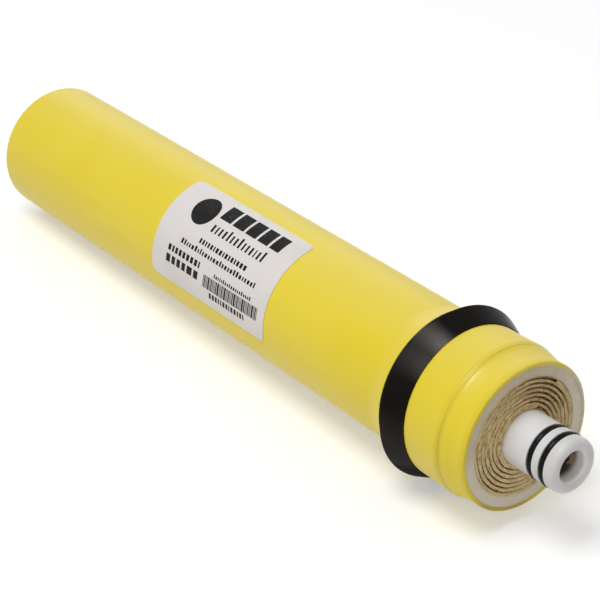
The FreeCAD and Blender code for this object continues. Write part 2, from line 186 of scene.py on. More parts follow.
class Bench:
    """The node tree of one material or world, with one way to add each kind of node."""

    def __init__(self, owner: bpy.types.Material | bpy.types.World) -> None:
        """Start with an empty tree.

        Args:
            owner: The material or world that the tree belongs to.
        """
        owner.use_nodes = True
        self.tree = owner.node_tree
        self.tree.nodes.clear()

    def node(self, kind: str, settings: dict, inputs: dict) -> bpy.types.Node:
        """Add one node.

        Args:
            kind: The node's type.
            settings: Its properties, set first.
            inputs: Values or links by socket name or number.

        Returns:
            The new node.
        """
        made = self.tree.nodes.new(kind)
        for key, value in settings.items():
            setattr(made, key, value)
        for key, value in inputs.items():
            self._feed(made.inputs[key], value)
        return made

    def _feed(self, socket: bpy.types.NodeSocket, value: object) -> None:
        """Link a signal or socket to an input, or set the input's own value.

        Args:
            socket: The input.
            value: A signal, a socket, or a value of the input's own kind.
        """
        if isinstance(value, Signal):
            value = value.socket
        if isinstance(value, bpy.types.NodeSocket):
            self.tree.links.new(value, socket)
        else:
            socket.default_value = value

    def math(self, operation: str, *values: "Signal | float") -> Signal:
        """Add a Math node and return its result."""
        made = self.node("ShaderNodeMath", {"operation": operation}, dict(enumerate(values)))
        return Signal(self, made.outputs[0])

    def ray(self, kind: str) -> Signal:
        """1 where the ray that meets the surface is of a kind, such as "Is Camera Ray"."""
        return Signal(self, self.node("ShaderNodeLightPath", {}, {}).outputs[kind])

    @cached_property
    def where(self) -> bpy.types.NodeSocket:
        """Socket with the object's own coordinates."""
        return self.node("ShaderNodeTexCoord", {}, {}).outputs["Object"]

    @cached_property
    def place(self) -> tuple[Signal, Signal, Signal]:
        """X, Y and Z of the shaded point in the object's own space, in metres."""
        split = self.node("ShaderNodeSeparateXYZ", {}, {0: self.where})
        return tuple(Signal(self, socket) for socket in split.outputs)

    def station(self) -> Signal:
        """Place along the roll's axis: the shaded point's X."""
        return self.place[0]

    def radius(self) -> Signal:
        """Distance from the roll's axis: the root of Y squared plus Z squared."""
        _, side, height = self.place
        return self.math("SQRT", side * side + height * height)

    def angle(self, zero_deg: float) -> Signal:
        """Direction about the roll's axis, counted from +Y towards +Z.

        With c and s the cosine and sine of the direction that counts as zero, it is the arc
        tangent of (z c - y s) over (y c + z s), so it jumps only opposite to that direction.

        Args:
            zero_deg: Direction in which the angle is zero, in degrees from +Y.

        Returns:
            The angle in radians.
        """
        _, side, height = self.place
        cosine, sine = math.cos(math.radians(zero_deg)), math.sin(math.radians(zero_deg))
        across, ahead = height * cosine - side * sine, side * cosine + height * sine
        return self.math("ARCTAN2", across, ahead)

    def noise(self, per_metre: float, detail: float = 2.0,
              stretch: tuple[float, float, float] = (1.0, 1.0, 1.0),
              vector: bpy.types.NodeSocket | None = None) -> Signal:
        """Cloudy pattern between 0 and 1.

        Args:
            per_metre: Number of clouds in a metre.
            detail: Number of finer layers.
            stretch: Factors on the three coordinates; a small one draws the clouds out.
            vector: Coordinates to use in place of the object's own.

        Returns:
            The pattern's value.
        """
        mapped = self.node("ShaderNodeMapping", {}, {
            "Vector": vector or self.where,
            "Scale": stretch,
        })
        made = self.node("ShaderNodeTexNoise", {}, {
            "Vector": mapped.outputs[0],
            "Scale": per_metre,
            "Detail": detail,
            "Roughness": NOISE_ROUGHNESS,
        })
        return Signal(self, made.outputs[0])

    def noise_over(self, first: Signal, second: Signal, third: "Signal | float") -> Signal:
        """Cloudy pattern over three numbers of one's own, a cloud to each unit of them."""
        joined = self.node("ShaderNodeCombineXYZ", {}, {0: first, 1: second, 2: third})
        return self.noise(1.0, vector=joined.outputs[0])

    def blend(self, share: "Signal | float", first: object, second: object) -> bpy.types.NodeSocket:
        """Mix two colours.

        Args:
            share: 0 gives the first colour and 1 the second.
            first: A colour, or the socket of one.
            second: A colour, or the socket of one.

        Returns:
            Socket of the mixed colour.
        """
        # A Mix node's colour sockets go by number: 6 and 7 going in and 2 coming out.
        made = self.node("ShaderNodeMix", {"data_type": "RGBA"}, {0: share, 6: first, 7: second})
        return made.outputs[2]


@dataclass(frozen=True)
class Pattern:
    """What a finish lays over its plain shader."""

    colour: bpy.types.NodeSocket
    roughness: Signal
    height: Signal


@dataclass(frozen=True)
class Finish:
    """A finish: the constant values of its shader and the pattern over them.

    The relief is what a height of 1 in the pattern stands for, in metres. In the finishes a
    field in _rate is a number of clouds in a metre, or in a radian for round_rate, one in
    _stretch draws them out, and one in _deg is a direction in degrees. One in _ramp holds the
    values at which something is 0 and 1, and one in _band its middle and half its width, as
    stations or radii, or as angles in radians from the zero direction. One in _share says how
    strongly something shows, and one in _fall by how much it is weaker at one end of its ramp.
    One in _rough is what it adds to the roughness, and one in _bump what it adds to the height.
    """

    name: str
    colour: Colour
    roughness: float
    specular: float = 0.5
    relief: float = 0.02 * MM

    def pattern(self, bench: Bench) -> Pattern:
        """Lay out the nodes that vary over the surface."""
        raise NotImplementedError

    def material(self) -> bpy.types.Material:
        """Build the material.

        Returns:
            A material whose colour, roughness and bump follow the finish's pattern.
        """
        made = bpy.data.materials.new(self.name)
        bench = Bench(made)
        laid = self.pattern(bench)
        bump = bench.node("ShaderNodeBump", {}, {
            "Strength": 1.0,
            "Distance": self.relief,
            "Height": laid.height,
        })
        shader = bench.node("ShaderNodeBsdfPrincipled", {}, {
            "Base Color": laid.colour,
            "Roughness": laid.roughness,
            "Specular IOR Level": self.specular,
            "Normal": bump.outputs[0],
        })
        bench.node("ShaderNodeOutputMaterial", {}, {"Surface": shader.outputs[0]})
        return made


@dataclass(frozen=True)
class ShrinkFilm(Finish):
    """Yellow film shrunk over the shell: satin, faintly clouded, with painted shade along each
    fold.
    """

    name: str = "shrink_film"
    colour: Colour = srgb(230, 206, 28)
    roughness: float = 0.39
    relief: float = 0.04 * MM
    pale: Colour = srgb(233, 210, 50)
    # Tone of the painted sheen.
    painted_sheen_tone: Colour = srgb(233, 210, 98)
    # Deeper tone of the painted shade in the crease, on the rim and by the seal.
    fold_shade_tone: Colour = srgb(208, 184, 4)
    worn: Colour = srgb(206, 198, 173)
    # Tone of the painted shade on the underside near the rim.
    underside_shade_tone: Colour = srgb(128, 108, 34)
    cloud_rate: float = 26.0
    streak_rate: float = 260.0
    streak_stretch: tuple[float, float, float] = (0.06, 1.0, 1.0)
    skin_rate: float = 950.0
    dent_rate: float = 75.0
    zero_deg: float = 130.0
    top_sheen_band: Span = (-0.35, 0.58)
    top_sheen_ramp: Span = (-170.0 * MM, -80.0 * MM)
    crease_band: Span = (-9.45 * MM, 1.35 * MM)
    crease_ramp: Span = (0.15, 0.7)
    rim_ramp: Span = (-2.5 * MM, -0.1 * MM)
    seal_band: Span = (SEAL_FRONT_X, 0.7 * MM)
    worn_deg: float = 14.0
    cone_ramp: Span = (-8.35 * MM, -7.15 * MM)
    turned_ramp: Span = (-2.4 * MM, -0.6 * MM)
    off_zero_ramp: Span = (0.2, 0.7)
    cone_sheen_ramp: Span = (1.89, 1.39)
    edge_ramp: Span = (-1.2 * MM, -0.4 * MM)
    worn_ramp: Span = (0.74, 0.36)
    under_ramps: tuple[Span, Span] = ((1.42, 1.8), (2.7, 2.3))
    underside_shade_ramp: Span = (-6.0 * MM, -1.0 * MM)
    shoulder_band: Span = (-8.65 * MM, 1.3 * MM)
    filled_ramp: Span = (-11.2 * MM, -10.3 * MM)
    fallen_ramp: Span = (-10.2 * MM, -9.3 * MM)
    fold_height: float = 0.35 * MM
    streak_share: float = 0.15
    pale_ramp: Span = (0.35, 0.7)
    top_sheen_share: float = 0.3
    top_sheen_fall: float = 0.65
    crease_fall: float = 0.45
    rim_share: float = 0.45
    seal_share: float = 0.35
    skin_fall: float = 0.25
    turned_fall: float = 0.6
    cone_sheen_share: float = 0.8
    worn_share: float = 0.92
    underside_shade_share: float = 0.5
    cloud_rough: float = 0.10
    skin_rough: float = 0.06
    cone_rough: float = 0.13
    shoulder_rough: float = -0.10
    skin_bump: float = 0.5
    streak_bump: float = 0.2
    cloud_bump: float = 0.5
    shoulder_bump: float = 1.6
    dent_bump: float = 4.0

    def pattern(self, bench: Bench) -> Pattern:
        """Slow clouds, drawn-out streaks and a fine skin, with painted sheen and shade, and wear.

        A painted sheen runs along the top. Painted shade deepens the tone in the crease, on
        the rim and at the edge by the seal. On one side a painted sheen lies in front of the
        shoulder, and the film is worn pale at its front edge; painted shade darkens its underside
        near the rim. The fold lies a little in front of the solid's ridge, so the bump first fills
        the ridge's front slope and then falls as far again. After it the film stands up in a low
        round shoulder with dents.

        Args:
            bench: The material's node tree.

        Returns:
            The film's pattern.
        """
        station, angle = bench.station(), bench.angle(self.zero_deg)
        off_zero, off_worn = abs(angle), abs(bench.angle(self.worn_deg))
        clouds = bench.noise(self.cloud_rate)
        streaks = bench.noise(self.streak_rate, stretch=self.streak_stretch)
        skin = bench.noise(self.skin_rate)
        dents = bench.noise(self.dent_rate, detail=1.0)
        pale = clouds.mixed(streaks, self.streak_share).ramp(*self.pale_ramp)
        tone = bench.blend(pale, self.colour, self.pale)
        # Painted sheen: a paler stripe along the top of the film.
        top_sheen = angle.band(*self.top_sheen_band) * station.ramp(*self.top_sheen_ramp).eased(self.top_sheen_fall)
        tone = bench.blend(top_sheen * self.top_sheen_share, tone, self.painted_sheen_tone)
        # Painted shade: a deeper tone in the crease, on the rim and at the edge by the seal.
        crease = station.band(*self.crease_band)
        crease = crease * off_zero.ramp(*self.crease_ramp).eased(self.crease_fall)
        rim = station.ramp(*self.rim_ramp)
        fold_shade = crease + rim * self.rim_share + station.band(*self.seal_band) * self.seal_share
        tone = bench.blend(fold_shade.capped() * skin.eased(self.skin_fall), tone, self.fold_shade_tone)
        cone = station.ramp(*self.cone_ramp)
        # Painted sheen on the front cone, on one side, in front of the shoulder.
        cone_sheen = cone * (1.0 - station.ramp(*self.turned_ramp) * self.turned_fall)
        cone_sheen = cone_sheen * off_zero.ramp(*self.off_zero_ramp) * off_worn.ramp(*self.cone_sheen_ramp)
        tone = bench.blend(cone_sheen * self.cone_sheen_share, tone, self.painted_sheen_tone)
        worn = station.ramp(*self.edge_ramp) * off_worn.ramp(*self.worn_ramp)
        tone = bench.blend(worn * self.worn_share, tone, self.worn)
        # Painted shade: the underside darkens towards the rim.
        under = angle.ramp(*self.under_ramps[0]) * angle.ramp(*self.under_ramps[1])
        underside_shade = under * station.ramp(*self.underside_shade_ramp)
        tone = bench.blend(underside_shade * self.underside_shade_share, tone, self.underside_shade_tone)
        shoulder = station.band(*self.shoulder_band)
        roughness = self.roughness + clouds.swing(self.cloud_rough) + skin.swing(self.skin_rough)
        roughness = roughness + cone * self.cone_rough + shoulder * self.shoulder_rough
        height = skin * self.skin_bump + streaks * self.streak_bump + clouds * self.cloud_bump
        height = height + shoulder * (self.shoulder_bump + self.dent_bump * dents)
        fold = station.ramp(*self.filled_ramp) - station.ramp(*self.fallen_ramp)
        return Pattern(tone, roughness, height + fold * (self.fold_height / self.relief))


@dataclass(frozen=True)
class MouldedRing(Finish):
    """Off-white shell: matte, mottled, painted shade towards the roll, turning marks on its end."""

    name: str = "moulded_shell"
    colour: Colour = srgb(218, 206, 186)
    roughness: float = 0.55
    relief: float = 0.03 * MM
    # Tone of the mottling and of the painted shade towards the roll and on one side.
    mottle_and_shade_tone: Colour = srgb(183, 164, 125)
    # Tone of the specks and of the painted shade at the edge by the roll.
    speck_and_shade_tone: Colour = srgb(140, 122, 92)
    mottle_rate: float = 160.0
    grain_rate: float = 2600.0
    speck_rate: float = 1300.0
    mark_rate: float = 9000.0
    round_rate: float = 0.6
    shaded_side_deg: float = 112.0
    shaded_side_ramp: Span = (2.4, 0.4)
    bore_ramp: Span = (BORE_RADIUS + 1.6 * MM, BORE_RADIUS)
    edge_ramp: Span = (BORE_RADIUS + 0.75 * MM, BORE_RADIUS)
    bore_shade_share: float = 0.15
    side_share: float = 0.55
    mottle_share: float = 0.8
    soil_ramp: Span = (0.0, 1.1)
    speck_ramp: Span = (0.70, 0.76)
    speck_share: float = 0.3
    edge_share: float = 0.12
    grain_rough: float = 0.2
    mark_bump: float = 0.6

    def pattern(self, bench: Bench) -> Pattern:
        """Mottling, painted shade at the bore and on one side, specks, and rings from the cut.

        Args:
            bench: The material's node tree.

        Returns:
            The shell's pattern.
        """
        radius, angle = bench.radius(), bench.angle(self.shaded_side_deg)
        mottling = bench.noise(self.mottle_rate, detail=3.0)
        grain = bench.noise(self.grain_rate)
        # Painted shade towards the roll and on one side, mixed with the shell's own mottling.
        mottle_and_shade = radius.ramp(*self.bore_ramp) * self.bore_shade_share
        mottle_and_shade = mottle_and_shade + abs(angle).ramp(*self.shaded_side_ramp) * self.side_share
        mottle_and_shade = (mottle_and_shade + mottling.swing(self.mottle_share)).ramp(*self.soil_ramp)
        tone = bench.blend(mottle_and_shade, self.colour, self.mottle_and_shade_tone)
        specks = bench.noise(self.speck_rate, detail=1.0).ramp(*self.speck_ramp)
        # Painted shade along the edge at the roll, beside the real specks.
        edge = radius.ramp(*self.edge_ramp)
        stains = bench.math("MAXIMUM", specks * self.speck_share, edge * self.edge_share)
        tone = bench.blend(stains, tone, self.speck_and_shade_tone)
        marks = bench.noise_over(radius * self.mark_rate, angle * self.round_rate, 0.0)
        roughness = self.roughness + grain.swing(self.grain_rough)
        return Pattern(tone, roughness, grain.mixed(marks, self.mark_bump))


@dataclass(frozen=True)
class SealRubber(Finish):
    """Black moulded rubber: satin, with fine rings from the mould and painted highlights."""

    name: str = "seal_rubber"
    colour: Colour = srgb(21, 19, 17)
    roughness: float = 0.27
    specular: float = 0.03
    relief: float = 0.018 * MM
    # Pale tone of the dust and of the painted highlights.
    dust_and_sheen: Colour = srgb(107, 104, 98)
    patch_rate: float = 85.0
    skin_rate: float = 1800.0
    ring_rate: float = 5200.0
    round_rate: float = 1.2
    front_ramp: Span = (LIP_X, SEAL_FRONT_X)
    painted_sheen_band: Span = (0.436, 0.22)
    beside_sheen_band: Span = (0.76, 0.27)
    side_band: Span = (1.8, 0.5)
    dull_ramp: Span = (2.05, 2.35)
    patch_ramp: Span = (0.48, 0.75)
    skin_ramp: Span = (0.4, 0.65)
    dusty_share: float = 0.06
    painted_sheen_share: float = 0.86
    beside_sheen_share: float = 0.30
    side_share: float = 0.09
    front_fall: float = 0.45
    least_share: float = 0.75
    patch_share: float = 0.5
    patch_rough: float = 0.22
    skin_rough: float = 0.08
    painted_sheen_rough: float = 0.15
    dull_rough: float = 0.38
    skin_bump: float = 0.5

    def pattern(self, bench: Bench) -> Pattern:
        """Rings round the axis, faint dusty patches, a fine skin, and three painted highlights.

        The first painted highlight lies at the top towards the label, a weaker one beside it and
        a faint one on the side. Below that side the rubber is duller.

        Args:
            bench: The material's node tree.

        Returns:
            The rubber's pattern.
        """
        station, radius = bench.station(), bench.radius()
        angle = bench.angle(UPWARD_DEG)
        patches = bench.noise(self.patch_rate, detail=3.0)
        skin = bench.noise(self.skin_rate)
        out, along = radius * self.ring_rate, station * self.ring_rate
        rings = bench.noise_over(out, angle * self.round_rate, along)
        dusty = patches.ramp(*self.patch_ramp) * skin.ramp(*self.skin_ramp)
        # Painted highlights: pale patches at the top, beside it and on the side.
        painted_sheen = angle.band(*self.painted_sheen_band) * self.painted_sheen_share
        painted_sheen = painted_sheen + angle.band(*self.beside_sheen_band) * self.beside_sheen_share
        painted_sheen = painted_sheen * station.ramp(*self.front_ramp).eased(self.front_fall)
        painted_sheen = painted_sheen + angle.band(*self.side_band) * self.side_share
        # The same pale tone serves real dust and the painted highlights.
        dust_and_sheen = dusty * self.dusty_share
        dust_and_sheen = dust_and_sheen + painted_sheen * (self.least_share + self.patch_share * patches)
        tone = bench.blend(dust_and_sheen, self.colour, self.dust_and_sheen)
        roughness = self.roughness + patches.swing(self.patch_rough) + skin.swing(self.skin_rough)
        roughness = roughness + painted_sheen * self.painted_sheen_rough
        roughness = roughness + angle.ramp(*self.dull_ramp) * self.dull_rough
        return Pattern(tone, roughness, rings.mixed(skin, self.skin_bump))


@dataclass(frozen=True)
class RingRubber(Finish):
    """Black O-ring rubber, slick with a trace of grease."""

    name: str = "o_ring_rubber"
    colour: Colour = srgb(6, 6, 9)
    roughness: float = 0.24
    specular: float = 0.12
    relief: float = 0.008 * MM
    greased: Colour = srgb(20, 20, 26)
    smear_rate: float = 420.0
    smear_stretch: tuple[float, float, float] = (1.0, 0.5, 0.5)
    skin_rate: float = 2600.0
    greased_ramp: Span = (0.45, 0.8)
    greased_share: float = 0.4
    smear_middle: float = 0.45
    smear_rough: float = 0.3

    def pattern(self, bench: Bench) -> Pattern:
        """Smears of grease that change the gloss, over an almost even black.

        Args:
            bench: The material's node tree.

        Returns:
            The rings' pattern.
        """
        smears = bench.noise(self.smear_rate, stretch=self.smear_stretch)
        greased = smears.ramp(*self.greased_ramp) * self.greased_share
        tone = bench.blend(greased, self.colour, self.greased)
        roughness = self.roughness + smears.swing(self.smear_rough, self.smear_middle)
        return Pattern(tone, roughness, bench.noise(self.skin_rate))


@dataclass(frozen=True)
class TubePlastic(Finish):
    """White moulded tube: smooth outside, painted shade in the bore, a dab of dried glue there."""

    name: str = "tube_plastic"
    colour: Colour = srgb(232, 232, 234)
    roughness: float = 0.36
    relief: float = 0.015 * MM
    # Tone of the flow marks and of the painted shade towards the tip.
    shaded: Colour = srgb(210, 208, 206)
    # Tone of the painted shade at the foot.
    foot_shade_tone: Colour = srgb(190, 181, 164)
    bore_tone: Colour = srgb(247, 245, 241)
    # Dark tone of the painted shade far into the bore, partly dirt.
    bore_depth_shade: Colour = srgb(100, 87, 67)
    glue: Colour = srgb(212, 178, 132)
    flow_rate: float = 150.0
    flow_stretch: tuple[float, float, float] = (0.25, 1.0, 1.0)
    skin_rate: float = 2200.0
    tip_ramp: Span = (6.0 * MM, 19.0 * MM)
    foot_ramp: Span = (1.6 * MM, 0.0)
    bore_ramp: Span = (5.5 * MM, 4.95 * MM)
    stub_ramp: Span = (-269.0 * MM, -267.0 * MM)
    bore_depth_ramp: Span = (17.4 * MM, 14.6 * MM)
    glue_deg: float = 338.0
    glue_along_band: Span = (14.7 * MM, 1.7 * MM)
    glue_round_band: Span = (0.0, 0.42)
    ragged_rate: float = 620.0
    ragged_along: float = 1.6 * MM
    ragged_round: float = 0.8
    flow_ramp: Span = (0.4, 0.75)
    flow_share: float = 0.3
    tip_shade_share: float = 0.8
    foot_shade_share: float = 0.5
    dab_ramp: Span = (0.15, 0.45)
    flow_rough: float = 0.12
    inside_rough: float = 0.15
    flow_bump: float = 0.5

    def pattern(self, bench: Bench) -> Pattern:
        """Flow marks along the tube, painted shade at tip, bore and foot, and the dab of glue.

        The dab's edge is ragged, because an uneven wave shifts the place that it is taken at.
        The closed stub at the far end keeps the outside's tone.

        Args:
            bench: The material's node tree.

        Returns:
            The tube's pattern.
        """
        station, angle = bench.station(), bench.angle(self.glue_deg)
        flow = bench.noise(self.flow_rate, stretch=self.flow_stretch)
        skin = bench.noise(self.skin_rate)
        shade = flow.ramp(*self.flow_ramp) * self.flow_share
        # Painted shade: the tube darkens towards the tip, over the real flow marks.
        shade = shade + station.ramp(*self.tip_ramp) * self.tip_shade_share
        tone = bench.blend(shade, self.colour, self.shaded)
        # Painted shade at the foot, where the tube meets the roll.
        tone = bench.blend(station.ramp(*self.foot_ramp) * self.foot_shade_share, tone, self.foot_shade_tone)
        inside = bench.radius().ramp(*self.bore_ramp) * station.ramp(*self.stub_ramp)
        # Painted shade deepens into the bore from a near-white mouth; the dark is partly dirt.
        bore = bench.blend(station.ramp(*self.bore_depth_ramp), self.bore_tone, self.bore_depth_shade)
        tone = bench.blend(inside, tone, bore)
        ragged = bench.noise(self.ragged_rate, detail=3.0) - NOISE_MIDDLE
        along = (station + ragged * self.ragged_along).band(*self.glue_along_band)
        dab = along * (angle + ragged * self.ragged_round).band(*self.glue_round_band) * inside
        tone = bench.blend(dab.ramp(*self.dab_ramp), tone, self.glue)
        roughness = self.roughness + flow.swing(self.flow_rough) + inside * self.inside_rough
        return Pattern(tone, roughness, skin.mixed(flow, self.flow_bump))


@dataclass(frozen=True)
class LeafCloth(Finish):
    """Cut edges of the leaf: coated cloth and knit steeped in glue, tan and brown in grains."""

    name: str = "leaf_cloth"
    colour: Colour = srgb(203, 178, 126)
    roughness: float = 0.78
    specular: float = 0.25
    relief: float = 0.12 * MM
    brown: Colour = srgb(138, 104, 56)
    straw: Colour = srgb(230, 209, 160)
    ply_rate: float = 3400.0
    along_rate: float = 900.0
    round_rate: float = 5.0
    glue_rate: float = 900.0
    fibre_rate: float = 2400.0
    stain_rate: float = 110.0
    top_shade_deg: float = 84.0
    top_shade_ramp: Span = (1.3, 0.0)
    flank_shade_ramp: Span = (0.6, 1.6)
    lit_side_ramp: Span = (1.8, 2.3)
    straw_ply_share: float = 0.6
    straw_ramp: Span = (0.45, 0.60)
    straw_share: float = 0.9
    brown_ply_share: float = 0.55
    brown_ramp: Span = (0.51, 0.37)
    brown_share: float = 0.9
    lit_side_share: float = 0.3
    top_shade_share: float = 0.28
    flank_shade_share: float = 0.05
    stain_ramp: Span = (0.5, 0.75)
    stain_share: float = 0.3
    glue_rough: float = 0.3
    fibre_bump: float = 0.4
    glue_bump: float = 0.3
    ply_bump: float = 0.6

    def pattern(self, bench: Bench) -> Pattern:
        """Lines along the plies, grains of brown glue and straw-coloured fibre ends over the tan.

        The roll is browner at its top, as painted shade, and paler below, as painted light.

        Args:
            bench: The material's node tree.

        Returns:
            The cloth's pattern.
        """
        angle = bench.angle(self.top_shade_deg)
        out, along = bench.radius() * self.ply_rate, bench.station() * self.along_rate
        plies = bench.noise_over(out, angle * self.round_rate, along)
        glue = bench.noise(self.glue_rate, detail=3.0)
        fibres = bench.noise(self.fibre_rate)
        ends = fibres.mixed(plies, self.straw_ply_share).ramp(*self.straw_ramp)
        tone = bench.blend(ends * self.straw_share, self.colour, self.straw)
        grains = glue.mixed(plies, self.brown_ply_share).ramp(*self.brown_ramp)
        tone = bench.blend(grains * self.brown_share, tone, self.brown)
        # Painted light: paler on the lower side.
        lit_side = abs(angle).ramp(*self.lit_side_ramp)
        tone = bench.blend(lit_side * self.lit_side_share, tone, self.straw)
        # Painted shade: browner at the top and on the flanks.
        top_shade = abs(angle).ramp(*self.top_shade_ramp) * self.top_shade_share
        top_shade = top_shade + abs(angle).ramp(*self.flank_shade_ramp) * (1.0 - lit_side) * self.flank_shade_share
        stains = bench.noise(self.stain_rate).ramp(*self.stain_ramp) * self.stain_share
        tone = bench.blend((stains + top_shade).capped(), tone, self.brown)
        roughness = self.roughness + glue.swing(self.glue_rough)
        height = fibres * self.fibre_bump + glue * self.glue_bump + plies * self.ply_bump
        return Pattern(tone, roughness, height)


@dataclass(frozen=True)
class NetPlastic(Finish):
    """Feed spacer: clear net gone brown in the dark of the roll, each strand a little glossy."""

    name: str = "net_plastic"
    colour: Colour = srgb(170, 134, 82)
    roughness: float = 0.5
    relief: float = 0.2 * MM
    dark: Colour = srgb(112, 82, 44)
    grain_rate: float = 1500.0
    mean_radius: float = 14.0 * MM
    pitch: float = 2.8 * MM
    strand_half: float = 0.84 * MM
    grain_share: float = 0.2
    grain_rough: float = 0.2
    grain_bump: float = 0.2

    def pattern(self, bench: Bench) -> Pattern:
        """Painted shade between the strands and paler on them, from two sets of slanting stripes.

        With x the station and t the angle times the roll's mean radius, the stripes follow
        x + t and x - t.

        Args:
            bench: The material's node tree.

        Returns:
            The net's pattern.
        """
        station = bench.station()
        along = bench.angle(UPWARD_DEG) * self.mean_radius
        first = bench.math("PINGPONG", station + along, self.pitch).ramp(self.strand_half, 0.0)
        second = bench.math("PINGPONG", station - along, self.pitch).ramp(self.strand_half, 0.0)
        strands = bench.math("MAXIMUM", first, second)
        grain = bench.noise(self.grain_rate)
        # Painted shade: the dark colour fills the openings between the strands.
        tone = bench.blend(strands.mixed(grain, self.grain_share), self.dark, self.colour)
        roughness = self.roughness + grain.swing(self.grain_rough)
        return Pattern(tone, roughness, strands + grain * self.grain_bump)


@dataclass(frozen=True)
class LabelPaper(Finish):
    """White label: coated paper with a faint fibre and slightly grey scuffs."""

    name: str = "label_paper"
    colour: Colour = srgb(224, 219, 216)
    roughness: float = 0.46
    relief: float = 0.02 * MM
    grey: Colour = srgb(207, 201, 195)
    fibre_rate: float = 1600.0
    scuff_rate: float = 60.0
    scuff_ramp: Span = (0.45, 0.8)
    scuff_share: float = 0.5
    fibre_ramp: Span = (0.5, 0.8)
    fibre_share: float = 0.2
    fibre_rough: float = 0.15
    scuff_bump: float = 0.6

    def pattern(self, bench: Bench) -> Pattern:
        """Fibre cloud, scuffs, and light bumps from the wrap under the paper.

        Args:
            bench: The material's node tree.

        Returns:
            The paper's pattern.
        """
        fibre = bench.noise(self.fibre_rate, detail=3.0)
        scuffs = bench.noise(self.scuff_rate, detail=3.0)
        greyed = scuffs.ramp(*self.scuff_ramp) * self.scuff_share
        greyed = greyed + fibre.ramp(*self.fibre_ramp) * self.fibre_share
        tone = bench.blend(greyed, self.colour, self.grey)
        roughness = self.roughness + fibre.swing(self.fibre_rough)
        return Pattern(tone, roughness, fibre.mixed(scuffs, self.scuff_bump))


@dataclass(frozen=True)
class PrintInk(Finish):
    """Black print: a thin toner film with tiny gaps where it missed the paper."""

    name: str = "print_ink"
    colour: Colour = srgb(20, 19, 20)
    roughness: float = 0.5
    specular: float = 0.12
    relief: float = 0.006 * MM
    missed: Colour = srgb(120, 118, 117)
    speck_rate: float = 2600.0
    patch_rate: float = 240.0
    patch_share: float = 0.3
    gap_ramp: Span = (0.58, 0.72)
    gap_share: float = 0.6
    patch_rough: float = 0.15

    def pattern(self, bench: Bench) -> Pattern:
        """Specks of paper through the black, more of them in some patches.

        Args:
            bench: The material's node tree.

        Returns:
            The ink's pattern.
        """
        specks = bench.noise(self.speck_rate)
        patches = bench.noise(self.patch_rate)
        gaps = specks.mixed(patches, self.patch_share).ramp(*self.gap_ramp)
        tone = bench.blend(gaps * self.gap_share, self.colour, self.missed)
        roughness = self.roughness + patches.swing(self.patch_rough)
        return Pattern(tone, roughness, specks)


@dataclass(frozen=True)
class Sweep:
    """Closed bodies made of rings of points: the points, the quads between rings and the caps."""

    points: np.ndarray
    quads: np.ndarray
    caps: np.ndarray

    def faces(self, shift: int) -> list[list[int]]:
        """Faces as lists of vertex numbers, when this many other vertices come first."""
        return (self.quads + shift).tolist() + (self.caps + shift).tolist()


def closed_sweep(points: np.ndarray, looped: bool = False) -> Sweep:
    """Join rings of points into closed bodies.

    Ring i of a body is joined to ring i + 1 by one quad for each pair of neighbouring points.
    A body's first and last rings are capped by one face each, or joined to each other.

    Args:
        points: Array of shape (bodies, rings, points in a ring, 3).
        looped: True where each body's path closes on itself.

    Returns:
        All the bodies in one sweep.
    """
    bodies, rings, around = points.shape[:3]
    number = np.arange(bodies * rings * around).reshape(bodies, rings, around)
    here = number if looped else number[:, :-1]
    ahead = np.roll(number, -1, axis=1) if looped else number[:, 1:]
    quads = [here, np.roll(here, -1, axis=2), np.roll(ahead, -1, axis=2), ahead]
    caps = number[:0, 0] if looped else np.concatenate([number[:, 0], number[:, -1, ::-1]])
    return Sweep(points.reshape(-1, 3), np.stack(quads, axis=-1).reshape(-1, 4), caps)


def add_piece(name: str, sweeps: list[Sweep], material: bpy.types.Material) -> None:
    """Make one mesh of several sweeps, dress it and let it ride on the element.

    Args:
        name: The piece's name.
        sweeps: The bodies that it is made of.
        material: Its material.
    """
    shifts = np.cumsum([0] + [len(sweep.points) for sweep in sweeps]).tolist()
    vertices = np.concatenate([sweep.points for sweep in sweeps])
    faces = [face for shift, sweep in zip(shifts, sweeps) for face in sweep.faces(shift)]
    mesh = bpy.data.meshes.new(name)
    mesh.from_pydata(vertices.tolist(), [], faces)
    work = bmesh.new()
    work.from_mesh(mesh)
    bmesh.ops.recalc_face_normals(work, faces=work.faces)
    work.to_mesh(mesh)
    work.free()
    mesh.shade_smooth()
    mesh.set_sharp_from_angle(angle=SHARP_EDGE)
    mesh.materials.append(material)
    piece = bpy.data.objects.new(name, mesh)
    bpy.context.scene.collection.objects.link(piece)
    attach(piece, BODY)
    LOG.info("%s: %d vertices, %d faces", name, len(vertices), len(faces))


def node_radius(node: bpy.types.Object) -> float:
    """Find the largest distance of a solid's surface from the roll's axis.

    Args:
        node: The solid.

    Returns:
        The distance in metres.
    """
    flat = np.zeros(len(node.data.vertices) * 3)
    node.data.vertices.foreach_get("co", flat)
    places = flat.reshape(-1, 3)
    return float(np.hypot(places[:, 1], places[:, 2]).max())


def ripple(place: np.ndarray, seed: int, waves: int = 9, span: Span = (0.4, 3.0),
           gain: float = 1.5) -> np.ndarray:
    """Uneven wave between about -1 and 1.

    It is the mean of sine waves with seeded frequencies and phases, times the gain and the root
    of 2.

    Args:
        place: Where to take the wave, in units of about one bump.
        seed: Number that picks the wave.
        waves: How many sines are added.
        span: Lowest and highest frequency, in radians for each unit of place.
        gain: Factor that brings the mean's usual height to about 1.

    Returns:
        The wave at each place.
    """
    picks = np.random.default_rng(seed)
    rates = picks.uniform(*span, waves)
    phases = picks.uniform(0.0, 2.0 * math.pi, waves)
    return gain * np.mean(np.sin(place[..., None] * rates + phases), axis=-1) * math.sqrt(2.0)


